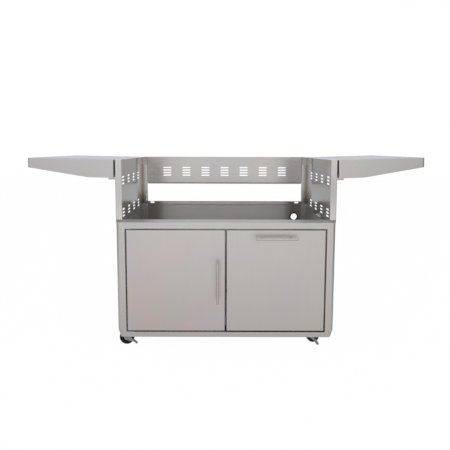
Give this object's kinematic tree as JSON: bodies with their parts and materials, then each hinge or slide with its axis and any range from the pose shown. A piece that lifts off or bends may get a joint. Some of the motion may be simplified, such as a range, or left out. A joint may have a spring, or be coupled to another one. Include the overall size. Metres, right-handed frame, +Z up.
{
  "type": "griddle cart",
  "caption": "Stainless steel cart with an open vented bay for a drop-in griddle, a hinged door, a pull-out tank tray, fold-down side shelves and swivel casters.",
  "frame": {"origin": "on the floor, under the middle of the cart's overall box", "axes": "+X to the cart's right seen from the front, +Y from the front to the back, +Z up"},
  "size_m": [1.8622, 0.643, 0.9559],
  "materials": {
    "brushed_stainless": "long-grain brushed stainless sheet",
    "handle_stainless": "satin turned stainless bar",
    "zinc_plate": "bright zinc plated steel",
    "tyre_rubber": "moulded black rubber",
    "hub_plastic": "moulded black nylon",
    "grommet_rubber": "moulded rubber",
    "catch_plastic": "moulded catch housing"
  },
  "bodies": {
    "cart": {"front_frame": "brushed_stainless", "base_pan": "brushed_stainless", "cabinet_side_left": "brushed_stainless", "cabinet_side_right": "brushed_stainless", "cabinet_back_panel": "brushed_stainless", "hose_grommet": "grommet_rubber", "centre_divider": "brushed_stainless", "slide_mount_rail": "brushed_stainless", "slide_outer_members": "zinc_plate", "door_pivot_brackets": "zinc_plate", "door_magnet_catch": "catch_plastic", "upper_side_left": "brushed_stainless", "upper_side_right": "brushed_stainless", "upper_back_panel": "brushed_stainless", "jacket_corner_tabs": "brushed_stainless", "panel_screws": "zinc_plate", "shelf_brackets": "brushed_stainless", "shelf_pivot_pins": "zinc_plate", "caster_plates": "zinc_plate", "caster_kingpins": "zinc_plate", "caster_bolts": "zinc_plate"},
    "door": {"door_skin": "brushed_stainless", "door_liner": "brushed_stainless", "door_pivot_blocks": "zinc_plate", "door_pivot_pins": "zinc_plate", "door_strike_plate": "zinc_plate", "door_handle_bar": "handle_stainless", "door_handle_posts": "handle_stainless"},
    "tray": {"tray_front_skin": "brushed_stainless", "tray_front_liner": "brushed_stainless", "tray_handle_bar": "handle_stainless", "tray_handle_posts": "handle_stainless", "tank_tray": "brushed_stainless", "tank_ring": "brushed_stainless", "slide_inner_members": "zinc_plate"},
    "slide_middle": {"slide_middle_members": "zinc_plate"},
    "shelf_left": {"shelf_pan_left": "brushed_stainless", "shelf_stiffener_left": "brushed_stainless", "shelf_arms_left": "brushed_stainless"},
    "shelf_right": {"shelf_pan_right": "brushed_stainless", "shelf_stiffener_right": "brushed_stainless", "shelf_arms_right": "brushed_stainless"},
    "caster_front_left": {"caster_fork_front_left": "zinc_plate", "caster_axle_front_left": "zinc_plate"},
    "wheel_front_left": {"caster_tyre_front_left": "tyre_rubber", "caster_hub_front_left": "hub_plastic"},
    "brake_front_left": {"caster_brake_pedal_front_left": "zinc_plate"},
    "caster_front_right": {"caster_fork_front_right": "zinc_plate", "caster_axle_front_right": "zinc_plate"},
    "wheel_front_right": {"caster_tyre_front_right": "tyre_rubber", "caster_hub_front_right": "hub_plastic"},
    "brake_front_right": {"caster_brake_pedal_front_right": "zinc_plate"},
    "caster_rear_left": {"caster_fork_rear_left": "zinc_plate", "caster_axle_rear_left": "zinc_plate"},
    "wheel_rear_left": {"caster_tyre_rear_left": "tyre_rubber", "caster_hub_rear_left": "hub_plastic"},
    "caster_rear_right": {"caster_fork_rear_right": "zinc_plate", "caster_axle_rear_right": "zinc_plate"},
    "wheel_rear_right": {"caster_tyre_rear_right": "tyre_rubber", "caster_hub_rear_right": "hub_plastic"}
  },
  "joints": [
    {"name": "door_hinge", "type": "hinge", "parent": "cart", "child": "door", "pos_m": [-0.462, -0.2715, 0.3635], "axis": [0, 0, -1], "range_deg": [0, 110]},
    {"name": "tray_slide", "type": "slide", "parent": "cart", "child": "tray", "axis": [0, -1, 0], "range_m": [0, 0.45]},
    {"name": "slide_middle_travel", "type": "slide", "parent": "cart", "child": "slide_middle", "axis": [0, -1, 0], "range_m": [0, 0.225]},
    {"name": "shelf_left_fold", "type": "hinge", "parent": "cart", "child": "shelf_left", "pos_m": [-0.538, 0.0185, 0.868], "axis": [0, -1, 0], "range_deg": [0, 91]},
    {"name": "shelf_right_fold", "type": "hinge", "parent": "cart", "child": "shelf_right", "pos_m": [0.538, 0.0185, 0.868], "axis": [0, 1, 0], "range_deg": [0, 91.75]},
    {"name": "swivel_front_left", "type": "hinge", "parent": "cart", "child": "caster_front_left", "pos_m": [-0.4695, -0.1855, 0.09], "axis": [0, 0, 1], "continuous": true},
    {"name": "wheel_spin_front_left", "type": "hinge", "parent": "caster_front_left", "child": "wheel_front_left", "pos_m": [-0.5015, -0.1855, 0.0375], "axis": [0, -1, 0], "continuous": true},
    {"name": "brake_front_left_lift", "type": "hinge", "parent": "caster_front_left", "child": "brake_front_left", "pos_m": [-0.5015, -0.1855, 0.0375], "axis": [0, -1, 0], "range_deg": [0, 25]},
    {"name": "swivel_front_right", "type": "hinge", "parent": "cart", "child": "caster_front_right", "pos_m": [0.4695, -0.1855, 0.09], "axis": [0, 0, 1], "continuous": true},
    {"name": "wheel_spin_front_right", "type": "hinge", "parent": "caster_front_right", "child": "wheel_front_right", "pos_m": [0.44893, -0.16099, 0.0375], "axis": [-0.766, -0.6428, 0], "continuous": true},
    {"name": "brake_front_right_lift", "type": "hinge", "parent": "caster_front_right", "child": "brake_front_right", "pos_m": [0.44893, -0.16099, 0.0375], "axis": [-0.766, -0.6428, 0], "range_deg": [0, 25]},
    {"name": "swivel_rear_left", "type": "hinge", "parent": "cart", "child": "caster_rear_left", "pos_m": [-0.4695, 0.2485, 0.09], "axis": [0, 0, 1], "continuous": true},
    {"name": "wheel_spin_rear_left", "type": "hinge", "parent": "caster_rear_left", "child": "wheel_rear_left", "pos_m": [-0.49721, 0.2645, 0.0375], "axis": [-0.5, -0.866, 0], "continuous": true},
    {"name": "swivel_rear_right", "type": "hinge", "parent": "cart", "child": "caster_rear_right", "pos_m": [0.4695, 0.2485, 0.09], "axis": [0, 0, 1], "continuous": true},
    {"name": "wheel_spin_rear_right", "type": "hinge", "parent": "caster_rear_right", "child": "wheel_rear_right", "pos_m": [0.49721, 0.2645, 0.0375], "axis": [-0.5, 0.866, 0], "continuous": true}
  ],
  "couplings": [
    {"joint": "slide_middle_travel", "follows": "tray_slide", "ratio": 0.5}
  ]
}
